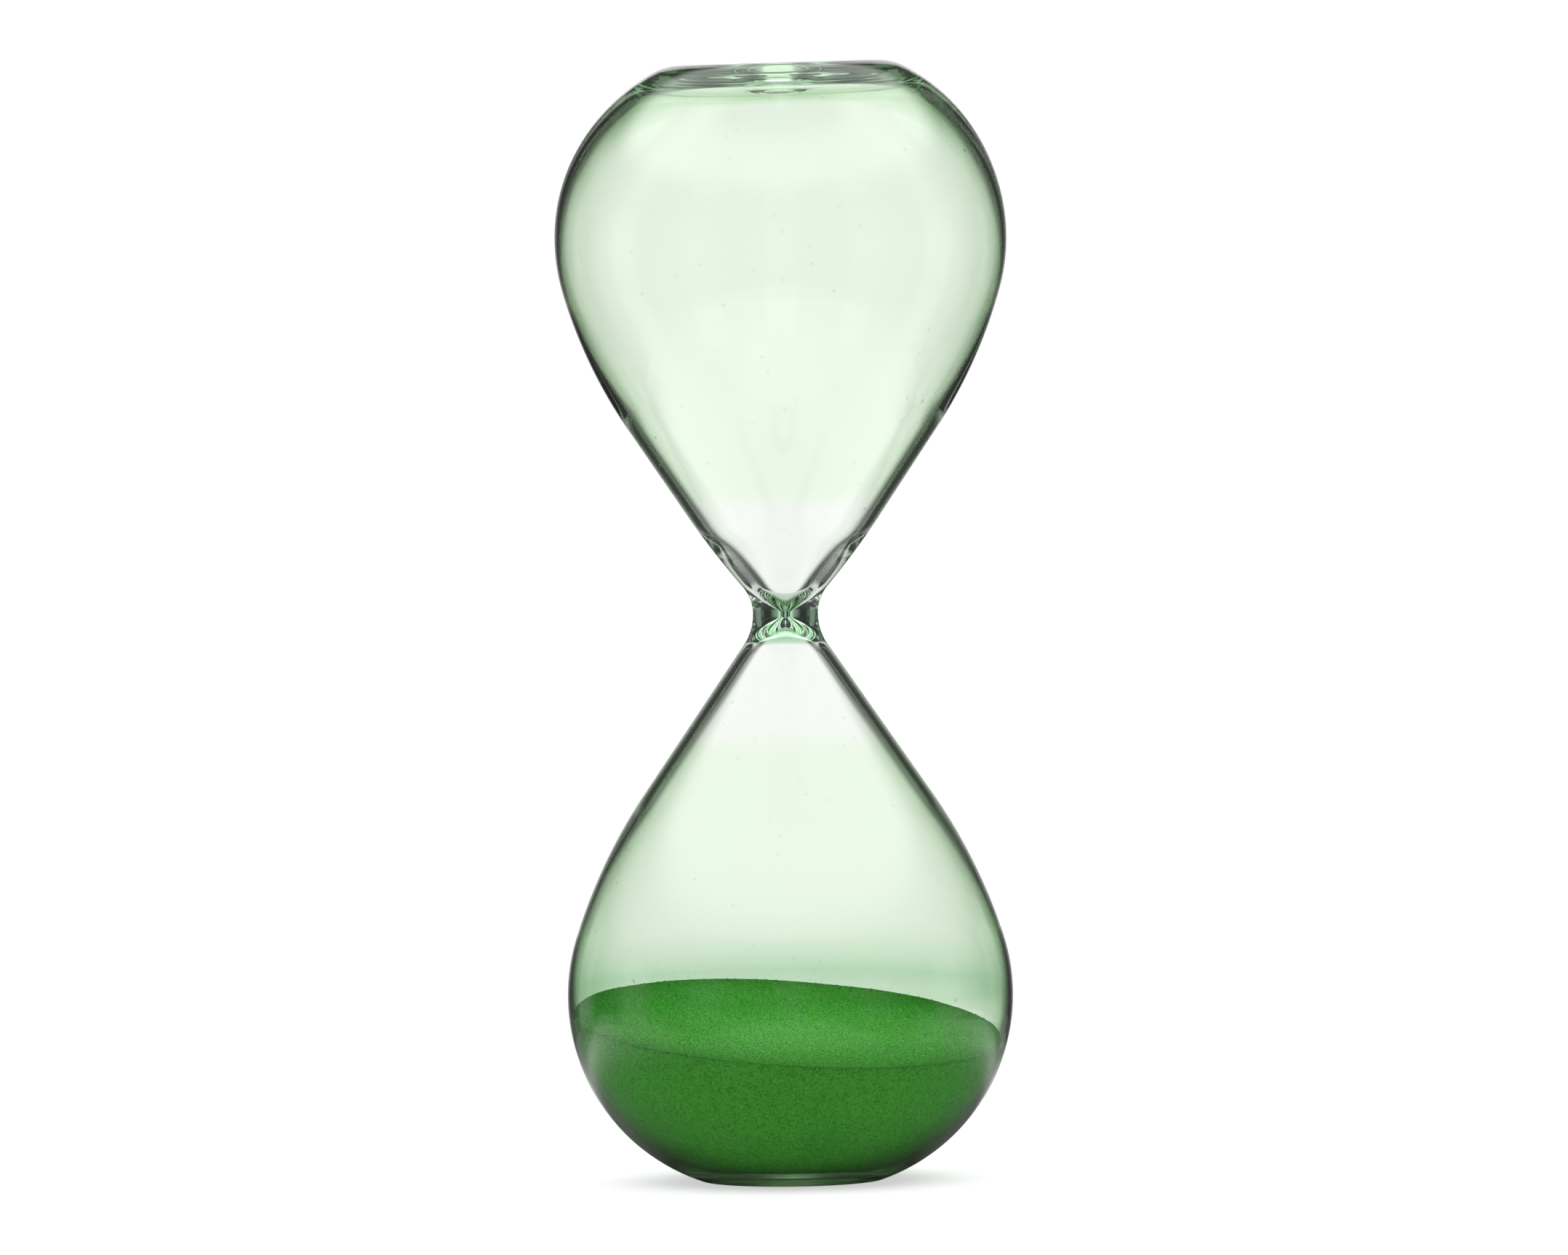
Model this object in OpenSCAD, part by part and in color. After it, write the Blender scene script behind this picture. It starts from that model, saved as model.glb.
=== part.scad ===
// Free-standing hourglass: two blown glass bulbs fused to a thick glass neck with a fine bore,
// sealed for good around a charge of coloured sand that lies in the lower bulb.
// Each half is a chain of arcs that run smoothly into each other: end face, end rounding, shoulder
// arc through the widest line, flank arc, straight cone. The wall's inside is a second such chain.
// Heights are measured from the foot, along the axis of revolution.

/* [Whole glass] */
// Height from the foot to the top end
height = 175; // [174:1:180]
// Height of the waist, the narrowest place
waist_z = 88.8; // [87.8:0.1:89.8]
// Diameter at the waist
waist_d = 10.2; // [9.6:0.1:12]

/* [Lower bulb] */
// Diameter at the lower bulb's widest line
lower_d = 69.9; // [68:0.1:71]
// Distance from the foot to the lower bulb's widest line
lower_widest = 29; // [28:0.1:30]
// Radius of the lower bulb's shoulder arc
lower_shoulder_r = 30.6; // [30:0.1:31]
// Radius of the arc between the foot face and the shoulder
lower_edge_r = 1.2; // [0.6:0.1:3]
// Angle of the lower cone from the axis
lower_cone = 34.5; // [33.5:0.1:35.5]
// Radius of the waist's curve below the narrowest place
lower_waist_r = 8.6; // [7:0.1:9]
// Radius of the lower flank arc, between the shoulder and the cone
lower_flank_r = 85; // [80:1:90]
// Distance from the waist to the lower weld
lower_weld = 20; // [18:0.1:22]

/* [Upper bulb] */
// Diameter at the upper bulb's widest line
upper_d = 70.8; // [70:0.1:71.6]
// Distance from the top end to the upper bulb's widest line
upper_widest = 27.4; // [26.5:0.1:28]
// Radius of the upper bulb's shoulder arc
upper_shoulder_r = 29.9; // [29.5:0.1:30.5]
// Radius of the arc between the top face and the shoulder
upper_edge_r = 9; // [5:0.1:10]
// Angle of the upper cone from the axis
upper_cone = 33.9; // [33.5:0.1:34.4]
// Steepest angle of the upper funnel, just above the waist
upper_throat = 40.5; // [38:0.1:42]
// Radius of the waist's curve above the narrowest place
upper_waist_r = 6.6; // [5:0.1:8]
// Radius of the arc that eases the throat's angle into the upper cone's
upper_ease_r = 120; // [100:5:130]
// Radius of the upper flank arc, between the shoulder and the cone
upper_flank_r = 76; // [72:1:80]
// Distance from the waist to the upper weld
upper_weld = 17; // [16:0.1:19]

/* [Glass walls] */
// Wall at the widest lines
wall_thin = 0.6; // [0.5:0.05:0.9]
// Wall at the welds and along the cones
wall_cone = 1.15; // [0.9:0.05:1.3]
// Thickness of the foot
foot_t = 2.2; // [1.8:0.1:2.6]
// Thickness of the top end
top_t = 3.2; // [2.6:0.1:3.6]

/* [Neck passage] */
// Diameter of the metering bore
bore_d = 1; // [0.9:0.05:1.4]
// Length of the bore's straight part
bore_l = 0.6; // [0.4:0.1:1]
// Radius of the lips at both ends of the bore
lip_r = 0.45; // [0.3:0.05:0.6]
// Angle of the flare below the bore, from the axis
lower_flare = 50; // [46:1:54]
// Angle of the flare above the bore, from the axis
upper_flare = 41; // [38:1:46]
// Radius of the curve from a flare into its cone
throat_r = 24; // [8:1:28]

/* [Sand] */
// Height of the sand's surface on the axis
sand_level = 24.1; // [14:0.1:30]
// Slope of the sand's surface, down towards +X
sand_slope_x = 4.2; // [0:0.1:8]
// Slope of the sand's surface, down towards -Y
sand_slope_y = 6.6; // [0:0.1:10]

/* [Fill seal] */
// Diameter of the fill hole in the top end
seal_d = 6.4; // [5:0.1:7]
// Diameter of the seal's bead inside the bulb
seal_bead_d = 9; // [8:0.1:10]
// Depth of the bead below the end wall
seal_bead_h = 0.9; // [0.6:0.1:1.2]
// Depth of the seal's dimple below the top face
seal_dimple = 0.3; // [0.1:0.1:0.5]

/* [Hidden] */
$fn = 96;

// Index of each half in the lists below
LOWER = 0;
UPPER = 1;
// Steps of the arcs, in degrees of turn on the tight arcs and on the long flank arcs
arc_step = 5;
flank_step = 2.5;
// Radius of the wall's inside between the end face and the shoulder
end_inner_r = 9;
// Half the side of the block that cuts the sand level
cutter = 60;

// Values of both halves. A distance h is measured along the axis from the waist towards the end
waist_r = waist_d / 2;
end_h = [waist_z, height - waist_z];
widest_h = [waist_z - lower_widest, height - upper_widest - waist_z];
widest_r = [lower_d / 2, upper_d / 2];
shoulder_r = [lower_shoulder_r, upper_shoulder_r];
edge_r = [lower_edge_r, upper_edge_r];
cone = [lower_cone, upper_cone];
flank_r = [lower_flank_r, upper_flank_r];
throat = [lower_cone, upper_throat];
waist_curve_r = [lower_waist_r, upper_waist_r];
weld_h = [lower_weld, upper_weld];
end_t = [foot_t, top_t];
flare = [lower_flare, upper_flare];

function last(list) = list[len(list) - 1];

// Points of an arc about [r, h] from angle a to angle b, measured from the radial direction
function arc(centre, radius, a, b, step) =
    let (n = max(1, ceil(abs(b - a) / step)))
    [for (i = [0 : n]) let (t = a + (b - a) * i / n) centre + radius * [cos(t), sin(t)]];

// Outside of the funnel from the waist to the weld: waist curve, easing arc, cone.
// The lower throat has its cone's angle from the start, so it needs no easing arc
function waist_arc(side) =
    arc([waist_r + waist_curve_r[side], 0], waist_curve_r[side], 180, 180 - throat[side], arc_step);
function easing_arc(side) =
    let (centre = last(waist_arc(side)) + upper_ease_r * [-cos(throat[side]), sin(throat[side])])
    side == LOWER ? [] : arc(centre, upper_ease_r, -throat[side], -cone[side], flank_step);
function funnel_outside(side) =
    let (
        curve = concat(waist_arc(side), easing_arc(side)),
        start = last(curve),
        run = weld_h[side] - start[1]
    )
    concat(curve, [start + run * [tan(cone[side]), 1]]);
function weld_r(side) = last(funnel_outside(side))[0];

// Outline of a bulb from the weld to the middle of its end face, along one side of the wall.
// Inputs: radius at the weld, widest radius and its height, shoulder radius, flank radius,
// radius at the end face's edge, height of the end face
function bulb_line(side, r_weld, r_wide, h_wide, r_shoulder, r_flank, r_edge, h_end) =
    let (
        // Angle past the widest line at which the shoulder arc hands over to the flank arc
        dr = r_wide - r_weld,
        dh = h_wide - weld_h[side],
        hand_over = cone[side] - acos(
            (dr * cos(cone[side]) - dh * sin(cone[side]) - r_shoulder * cos(cone[side]) + r_flank)
            / (r_flank - r_shoulder)),
        shoulder_c = [r_wide - r_shoulder, h_wide],
        flank_c = shoulder_c - (r_flank - r_shoulder) * [cos(hand_over), -sin(hand_over)],
        // Centre of the end rounding, inside the shoulder arc and tangent to the end face
        edge_rise = h_end - h_wide - r_edge,
        edge_c = shoulder_c + [sqrt(pow(r_shoulder - r_edge, 2) - pow(edge_rise, 2)), edge_rise],
        edge_angle = atan2(edge_rise, edge_c[0] - shoulder_c[0])
    )
    concat(
        [[r_weld, weld_h[side]]],
        arc(flank_c, r_flank, -cone[side], -hand_over, flank_step),
        arc(shoulder_c, r_shoulder, -hand_over, edge_angle, arc_step),
        arc(edge_c, r_edge, edge_angle, 90, arc_step * 2));

function bulb_outside(side) =
    bulb_line(side, weld_r(side), widest_r[side], widest_h[side],
        shoulder_r[side], flank_r[side], edge_r[side], end_h[side]);

// The inside is the same chain. Its widest line lies nearer the weld, so the wall grows to the end
function bulb_inside(side) =
    bulb_line(side, weld_r(side) - wall_cone / cos(cone[side]), widest_r[side] - wall_thin,
        widest_h[side] - (end_t[side] - wall_thin) / 2, shoulder_r[side] - wall_thin,
        flank_r[side] - wall_cone, end_inner_r, end_h[side] - end_t[side]);

// Inside of the funnel from the bore's middle to the weld: bore, lip, flare, throat curve, cone
function funnel_inside(side) =
    let (
        bore_r = bore_d / 2,
        lip = arc([bore_r + lip_r, bore_l / 2], lip_r, 180, 180 - flare[side], arc_step * 3),
        start = last(lip),
        flare_run = tan(flare[side]),
        weld_inner = weld_r(side) - wall_cone / cos(cone[side]),
        // Where the flare's line meets the cone's line
        meet_h = (weld_inner - start[0] - weld_h[side] * tan(cone[side]) + start[1] * flare_run)
            / (flare_run - tan(cone[side])),
        meet = [start[0] + (meet_h - start[1]) * flare_run, meet_h],
        // The throat curve touches both lines at this distance from their crossing
        reach = throat_r * tan((flare[side] - cone[side]) / 2),
        first = meet - reach * [sin(flare[side]), cos(flare[side])],
        throat_c = first + throat_r * [-cos(flare[side]), sin(flare[side])]
    )
    concat(
        [[bore_r, 0]],
        lip,
        arc(throat_c, throat_r, -flare[side], -cone[side], arc_step),
        [[weld_inner, weld_h[side]]]);

function reversed(list) = [for (i = [len(list) - 1 : -1 : 0]) list[i]];

// Puts [r, h] points of one half at their heights above the foot
function raised(side, points) =
    [for (p = points) [p[0], waist_z + (side == UPPER ? p[1] : -p[1])]];

module glass_colour() {
    color([0.72, 0.86, 0.70, 0.45]) children();
}

// Closed wall of one bulb, open at the weld, with the end face drawn in to the radius hole_r
module bulb(side, hole_r) {
    outside = bulb_outside(side);
    inside = bulb_inside(side);
    wall = concat(outside, [[hole_r, end_h[side]], [hole_r, end_h[side] - end_t[side]]],
        reversed(inside));
    rotate_extrude() polygon(raised(side, wall));
}

module lower_bulb() {
    glass_colour() bulb(LOWER, 0);
}

module upper_bulb() {
    glass_colour() bulb(UPPER, seal_d / 2);
}

// Thick double funnel with the metering bore on its axis
module neck() {
    outer = concat(reversed(raised(LOWER, funnel_outside(LOWER))), raised(UPPER, funnel_outside(UPPER)));
    inner = concat(reversed(raised(UPPER, funnel_inside(UPPER))), raised(LOWER, funnel_inside(LOWER)));
    color([0.88, 0.92, 0.87, 0.45]) rotate_extrude() polygon(concat(outer, inner));
}

// Charge of sand, settled with its surface aslant
module sand() {
    inside = raised(LOWER, bulb_inside(LOWER));
    color([0.26, 0.58, 0.22])
    intersection() {
        rotate_extrude() polygon(concat(inside, [[0, foot_t], [0, waist_z - weld_h[LOWER]]]));
        translate([0, 0, sand_level])
            rotate([sand_slope_y, sand_slope_x, 0])
                translate([0, 0, -cutter]) cube(2 * cutter, center = true);
    }
}

// Glass melted into the fill hole, with a dimple outside and a low bead inside
module fill_seal() {
    hole_r = seal_d / 2;
    bead_r = seal_bead_d / 2;
    inner_z = height - top_t;
    glass_colour()
    difference() {
        union() {
            translate([0, 0, inner_z]) cylinder(h = top_t, r = hole_r);
            translate([0, 0, inner_z - seal_bead_h])
                cylinder(h = seal_bead_h, r1 = bead_r - seal_bead_h, r2 = bead_r);
        }
        translate([0, 0, height - seal_dimple])
            cylinder(h = 2 * seal_dimple, r1 = hole_r / 2, r2 = hole_r);
    }
}

lower_bulb();
upper_bulb();
neck();
sand();
fill_seal();
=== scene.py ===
"""Looks of a free-standing blown hourglass: one fused glass body, the sand in it and its stage."""

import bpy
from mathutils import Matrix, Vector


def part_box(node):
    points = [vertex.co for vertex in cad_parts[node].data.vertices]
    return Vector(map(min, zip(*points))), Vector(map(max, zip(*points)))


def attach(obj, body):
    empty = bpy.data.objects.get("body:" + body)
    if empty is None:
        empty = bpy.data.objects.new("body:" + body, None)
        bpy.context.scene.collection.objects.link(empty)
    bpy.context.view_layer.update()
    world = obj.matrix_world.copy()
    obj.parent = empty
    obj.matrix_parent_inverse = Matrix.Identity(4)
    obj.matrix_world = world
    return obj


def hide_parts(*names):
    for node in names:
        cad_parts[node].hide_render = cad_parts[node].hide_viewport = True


bl_info = {
    "name": "Blown Hourglass",
    "version": (1, 0, 0),
    "blender": (4, 5, 0),
    "location": "View3D > Sidebar > Hourglass",
    "description": "Builds the glass, the sand and the stage of a frameless blown hourglass",
    "category": "Add Mesh",
}

import math

import bpy
from mathutils import Quaternion, Vector
from mathutils.noise import noise

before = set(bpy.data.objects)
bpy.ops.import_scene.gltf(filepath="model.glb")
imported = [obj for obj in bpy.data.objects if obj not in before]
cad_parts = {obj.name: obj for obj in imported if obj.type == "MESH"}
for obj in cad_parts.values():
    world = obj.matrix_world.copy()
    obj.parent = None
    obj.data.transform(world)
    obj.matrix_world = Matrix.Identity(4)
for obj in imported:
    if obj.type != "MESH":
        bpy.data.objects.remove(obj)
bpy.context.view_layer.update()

MM = 0.001
LOWER_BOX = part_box("lower_bulb")
UPPER_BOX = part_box("upper_bulb")
NECK_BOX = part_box("neck")
HEIGHT = UPPER_BOX[1].z


# Settings


def length(name, description, millimetres):
    """A length property whose default is given in millimetres."""
    return bpy.props.FloatProperty(
        name=name,
        description=description,
        default=millimetres * MM,
        min=0.0,
        subtype="DISTANCE",
        unit="LENGTH",
        precision=4,
    )


def angle(name, description, degrees):
    """An angle property whose default is given in degrees."""
    return bpy.props.FloatProperty(
        name=name, description=description, default=math.radians(degrees), subtype="ANGLE", unit="ROTATION"
    )


def colour(name, description, value):
    """A colour property."""
    return bpy.props.FloatVectorProperty(
        name=name, description=description, default=value, size=3, min=0.0, max=1.0, subtype="COLOR"
    )


def number(name, description, value):
    """A plain number property that can't be negative."""
    return bpy.props.FloatProperty(name=name, description=description, default=value, min=0.0)


class LowerHalf(bpy.types.PropertyGroup):
    """Shape of the half below the waist."""

    widest_height: length("Widest height", "Height of the widest line above the foot", 29)
    shoulder_radius: length("Shoulder radius", "Radius of the arc through the widest line", 30.6)
    flank_radius: length("Flank radius", "Radius of the arc between shoulder and cone", 85)
    edge_radius: length("Edge radius", "Radius between the foot face and the shoulder", 1.2)
    cone_angle: angle("Cone angle", "Angle of the cone from the axis", 34.5)
    throat_angle: angle("Throat angle", "Steepest angle beside the waist", 34.5)
    waist_radius: length("Waist curve", "Radius of the waist's curve on this side", 8.6)
    flare_angle: angle("Flare angle", "Angle of the flare below the bore, from the axis", 50)
    end_thickness: length("Foot thickness", "Thickness of the glass at the foot", 2.2)


class UpperHalf(bpy.types.PropertyGroup):
    """Shape of the half above the waist."""

    widest_height: length("Widest height", "Depth of the widest line below the top end", 27.4)
    shoulder_radius: length("Shoulder radius", "Radius of the arc through the widest line", 29.9)
    flank_radius: length("Flank radius", "Radius of the arc between shoulder and cone", 76)
    edge_radius: length("Edge radius", "Radius between the top face and the shoulder", 9)
    cone_angle: angle("Cone angle", "Angle of the cone from the axis", 33.9)
    throat_angle: angle("Throat angle", "Steepest angle beside the waist", 40.5)
    waist_radius: length("Waist curve", "Radius of the waist's curve on this side", 6.6)
    flare_angle: angle("Flare angle", "Angle of the flare above the bore, from the axis", 43)
    end_thickness: length("Top thickness", "Thickness of the glass at the top end", 3.2)


class GlassSettings(bpy.types.PropertyGroup):
    """Walls, passage and finish of the glass, and the painted shade in its colour."""

    waist_height: length("Waist height", "Height of the narrowest place", 88.8)
    waist_width: length("Waist width", "Diameter at the narrowest place", 10.2)
    ease_radius: length("Ease radius", "Radius that eases the upper throat into its cone", 120)
    wall_thin: length("Thin wall", "Wall at the widest lines", 0.6)
    wall_cone: length("Cone wall", "Wall along the cones", 1.15)
    end_inner_radius: length("Inner end radius", "Radius inside the ends, between face and shoulder", 9)
    bore_width: length("Bore width", "Diameter of the metering bore", 1.0)
    bore_length: length("Bore length", "Length of the bore's straight part", 0.6)
    lip_radius: length("Lip radius", "Radius of the lips at the bore's ends", 0.45)
    throat_radius: length("Throat radius", "Radius of the curve from a flare into its cone", 24)
    seal_width: length("Seal width", "Diameter of the melted fill hole in the top end", 6.4)
    seal_bead: length("Seal bead", "Depth of the bead inside the top end", 0.9)
    seal_dimple: length("Seal dimple", "Depth of the dimple in the top face", 0.3)
    waviness: length("Waviness", "How far the blown walls wander from true", 0.06)
    end_tilt: angle("Top tilt", "Slope of the hand-flattened top end", 1.0)
    segments: bpy.props.IntProperty(
        name="Segments", description="Steps round the axis", default=176, min=24, max=400
    )
    refraction: number("Refraction", "Index of refraction of the glass", 1.47)
    bulb_tint: colour("Bulb tint", "Tint that each surface of the bulbs adds", (0.935, 0.99, 0.915))
    neck_tint: colour("Neck tint", "Tint that each surface of the neck adds", (0.99, 0.995, 0.985))
    # Rim tint and shade: partly the glass's own green over the longer path of a wall seen edge on, partly
    # painted shade that darkens the glass's edges.
    rim_tint_and_shade: colour("Rim tint and shade", "Extra tint where a wall is seen edge on", (0.67, 0.9, 0.63))
    # Foot shade: painted shade and painted reflection of the shadowed floor, where the low wall and the foot
    # are seen edge on.
    foot_shade_tint: colour("Foot shade", "Tint of the low wall and the foot seen edge on", (0.3, 0.36, 0.24))
    # Outline shade: painted shade on the last sliver of a wall seen edge on, for the dim surroundings.
    outline_shade_tint: colour("Outline shade", "Tint of the last sliver of a wall seen edge on", (0.3, 0.36, 0.28))
    # Core tint and shade: partly the thick glass's own green round the bore, partly painted shade.
    core_tint_and_shade: colour("Core tint and shade", "Tint of the thick glass round the bore", (0.55, 0.74, 0.58))
    # Slab shade: painted shade in the foot's glass under the sand.
    slab_shade_tint: colour("Slab shade", "Tint of the foot's glass under the sand", (0.36, 0.42, 0.32))
    # Shoulder shade: painted shade on the top shoulder seen edge on.
    shoulder_shade_tint: colour("Shoulder shade", "Tint of the top shoulder seen edge on", (0.62, 0.75, 0.6))
    # Below this height the foot's painted shade grows
    foot_shade_height: length("Foot shade height", "Height below which the foot tint grows", 15)
    # A greener, darker tint on the inner wall just above the sand, fading upwards.
    sandline_tint: colour("Sandline tint", "Tint of the dust on the inner wall near the sand", (0.455, 0.665, 0.48))
    sandline_height: length("Sandline height", "Height up to which the dust film is full", 30)
    sandline_fade: length("Sandline fade", "Height over which the dust film fades", 5.7)
    contact_roughness: number("Contact roughness", "Roughness of the wall where sand presses on it", 0.1)
    depth_tint: colour("Depth tint", "Colour that light keeps in thick glass", (0.45, 0.85, 0.5))
    depth_density: number("Depth density", "Absorption per metre of glass", 14.0)


class SandSettings(bpy.types.PropertyGroup):
    """Charge of sand in the lower bulb."""

    level: length("Level", "Height of the sand's surface on the axis", 24.1)
    slope_across: angle("Slope across", "Fall of the surface towards +X", 4.2)
    slope_forward: angle("Slope forward", "Fall of the surface towards -Y", 6.6)
    gap: length("Gap", "Air between the sand and the glass", 0.05)
    slump: length("Slump", "Height of the soft hollows in the surface", 0.35)
    columns: bpy.props.IntProperty(
        name="Columns", description="Steps round the axis", default=240, min=24, max=600
    )
    grain_size: length("Grain size", "Mean radius of a loose grain", 0.11)
    top_grains: bpy.props.IntProperty(
        name="Surface grains", description="Loose grains on the surface", default=7000, min=0
    )
    side_grains: bpy.props.IntProperty(
        name="Side grains", description="Grains that press against the wall", default=7000, min=0
    )
    wall_grains: bpy.props.IntProperty(
        name="Wall grains", description="Grains that cling to the wall above the rim", default=700, min=0
    )
    body_colour: colour("Body colour", "Colour of most grains", (0.125, 0.60, 0.07))
    dark_colour: colour("Dark colour", "Colour of the dark grains", (0.055, 0.34, 0.04))
    # Pale glint colour: partly the grains' own paler tone, partly a painted glint.
    pale_glint_colour: colour("Pale glint colour", "Colour of the glinting grains", (0.30, 0.55, 0.16))


class StageSettings(bpy.types.PropertyGroup):
    """Floor, light and camera."""

    floor_radius: length("Floor radius", "Radius of the floor", 170)
    backdrop_light: number("Backdrop light", "Brightness of the lit panels round the stage", 0.92)
    overhead_light: number("Overhead light", "Brightness of the ring of softboxes overhead", 1.8)
    zenith_share: number("Zenith share", "Brightness straight overhead against the ring", 0.2)
    dark_light: number("Dark light", "Brightness of the gaps between the panels", 0.05)
    diagonal_share: number("Diagonal share", "Brightness of the diagonal panels against the others", 0.34)
    flank_share: number("Flank share", "Brightness of the panels at the sides", 0.6)
    lens_share: number("Lens side share", "Brightness of the panel behind the lens", 0.4)
    halo_share: number("Halo share", "Brightness of the spill beside a panel, near the horizon", 0.42)
    panel_half_width: angle("Panel half width", "Half the angle that one lit panel fills", 9)
    camera_distance: length("Camera distance", "From the axis", 2170)
    camera_height: length("Camera height", "Above the floor", 175)
    frame_width: length("Frame width", "Width of the view at the axis", 245.5)
    camera_roll: angle("Camera roll", "Turn of the view that gives the glass its lean", 0.76)
    camera_aside: bpy.props.FloatProperty(
        name="Camera aside", description="Shift of the view along X", default=-0.25 * MM, unit="LENGTH"
    )


# Outline of the glass: points [radius, height], chained from arcs


def arc(centre, radius, start, end, step):
    """Points of an arc from angle start to angle end, measured from the radial direction."""
    count = max(1, math.ceil(abs(end - start) / step))
    turns = [start + (end - start) * i / count for i in range(count + 1)]
    return [(centre[0] + radius * math.cos(t), centre[1] + radius * math.sin(t)) for t in turns]


TIGHT_STEP = math.radians(2.5)
LONG_STEP = math.radians(0.8)
LIP_STEP = math.radians(9)


class Half:
    """One half of the glass, measured along the axis from the waist towards its end."""

    def __init__(self, glass, shape, upper):
        self.glass = glass
        self.shape = shape
        self.upper = upper
        box = UPPER_BOX if upper else LOWER_BOX
        self.widest = (box[1].x - box[0].x) / 2
        self.end = HEIGHT - glass.waist_height if upper else glass.waist_height
        self.widest_at = self.end - shape.widest_height
        self.weld = NECK_BOX[1].z - glass.waist_height if upper else glass.waist_height - NECK_BOX[0].z
        self.weld_radius = self.funnel_outside()[-1][0]
        self.weld_inner = self.weld_radius - glass.wall_cone / math.cos(shape.cone_angle)

    def raised(self, points):
        """Puts points of this half at their heights above the foot."""
        sign = 1 if self.upper else -1
        return [(r, self.glass.waist_height + sign * h) for r, h in points]

    def funnel_outside(self):
        """Waist curve, easing arc and cone, from the waist to the weld."""
        shape = self.shape
        curve_radius = shape.waist_radius
        throat = shape.throat_angle
        waist = self.glass.waist_width / 2
        points = arc((waist + curve_radius, 0), curve_radius, math.pi, math.pi - throat, TIGHT_STEP)
        if throat > shape.cone_angle:
            ease = self.glass.ease_radius
            r, h = points[-1]
            centre = (r - ease * math.cos(throat), h + ease * math.sin(throat))
            points += arc(centre, ease, -throat, -shape.cone_angle, LONG_STEP)[1:]
        r, h = points[-1]
        points.append((r + (self.weld - h) * math.tan(shape.cone_angle), self.weld))
        return points

    def bulb_line(self, weld_radius, widest, widest_at, shoulder, flank, edge, end):
        """Cone, flank, shoulder and end rounding, from the weld to the middle of the end face."""
        cone = self.shape.cone_angle
        across = widest - weld_radius
        along = widest_at - self.weld
        turned = across * math.cos(cone) - along * math.sin(cone) - shoulder * math.cos(cone) + flank
        hand_over = cone - math.acos(turned / (flank - shoulder))
        centre = (widest - shoulder, widest_at)
        reach = flank - shoulder
        flank_centre = (centre[0] - reach * math.cos(hand_over), centre[1] + reach * math.sin(hand_over))
        rise = end - widest_at - edge
        edge_centre = (centre[0] + math.sqrt((shoulder - edge) ** 2 - rise**2), widest_at + rise)
        edge_start = math.atan2(rise, edge_centre[0] - centre[0])
        return (
            [(weld_radius, self.weld)]
            + arc(flank_centre, flank, -cone, -hand_over, LONG_STEP)
            + arc(centre, shoulder, -hand_over, edge_start, TIGHT_STEP)[1:]
            + arc(edge_centre, edge, edge_start, math.pi / 2, TIGHT_STEP * 2)[1:]
        )

    def bulb_outside(self):
        """Outside of this half's bulb."""
        shape = self.shape
        return self.bulb_line(
            self.weld_radius,
            self.widest,
            self.widest_at,
            shape.shoulder_radius,
            shape.flank_radius,
            shape.edge_radius,
            self.end,
        )

    def bulb_inside(self, gap=0.0):
        """Inside of this half's bulb, or a line that runs a small gap within it."""
        shape = self.shape
        glass = self.glass
        thin = glass.wall_thin + gap
        return self.bulb_line(
            self.weld_inner - gap / math.cos(shape.cone_angle),
            self.widest - thin,
            self.widest_at - (shape.end_thickness - glass.wall_thin) / 2,
            shape.shoulder_radius - thin,
            shape.flank_radius - glass.wall_cone - gap,
            glass.end_inner_radius,
            self.end - shape.end_thickness - gap,
        )

    def funnel_inside(self):
        """Bore, lip, flare, throat curve and cone, from the bore's middle to the weld."""
        glass = self.glass
        cone = self.shape.cone_angle
        flare = self.shape.flare_angle
        lip_centre = (glass.bore_width / 2 + glass.lip_radius, glass.bore_length / 2)
        lip = arc(lip_centre, glass.lip_radius, math.pi, math.pi - flare, LIP_STEP)
        r, h = lip[-1]
        meet_h = (self.weld_inner - r - self.weld * math.tan(cone) + h * math.tan(flare)) / (
            math.tan(flare) - math.tan(cone)
        )
        reach = glass.throat_radius * math.tan((flare - cone) / 2)
        first = (
            r + (meet_h - h) * math.tan(flare) - reach * math.sin(flare),
            meet_h - reach * math.cos(flare),
        )
        centre = (
            first[0] - glass.throat_radius * math.cos(flare),
            first[1] + glass.throat_radius * math.sin(flare),
        )
        throat = arc(centre, glass.throat_radius, -flare, -cone, TIGHT_STEP)
        return [(glass.bore_width / 2, 0)] + lip + throat + [(self.weld_inner, self.weld)]


def tidy_line(points, longest):
    """Drops repeated points and splits the long straight stretches."""
    kept = [points[0]]
    for r, h in points[1:]:
        r0, h0 = kept[-1]
        span = math.hypot(r - r0, h - h0)
        if span < 1e-7:
            continue
        pieces = max(1, math.ceil(span / longest))
        kept += [(r0 + (r - r0) * i / pieces, h0 + (h - h0) * i / pieces) for i in range(1, pieces + 1)]
    return kept


def halves(scene):
    """The lower and the upper half with the scene's settings."""
    glass = scene.hourglass_glass
    return Half(glass, scene.hourglass_lower, False), Half(glass, scene.hourglass_upper, True)


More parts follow.
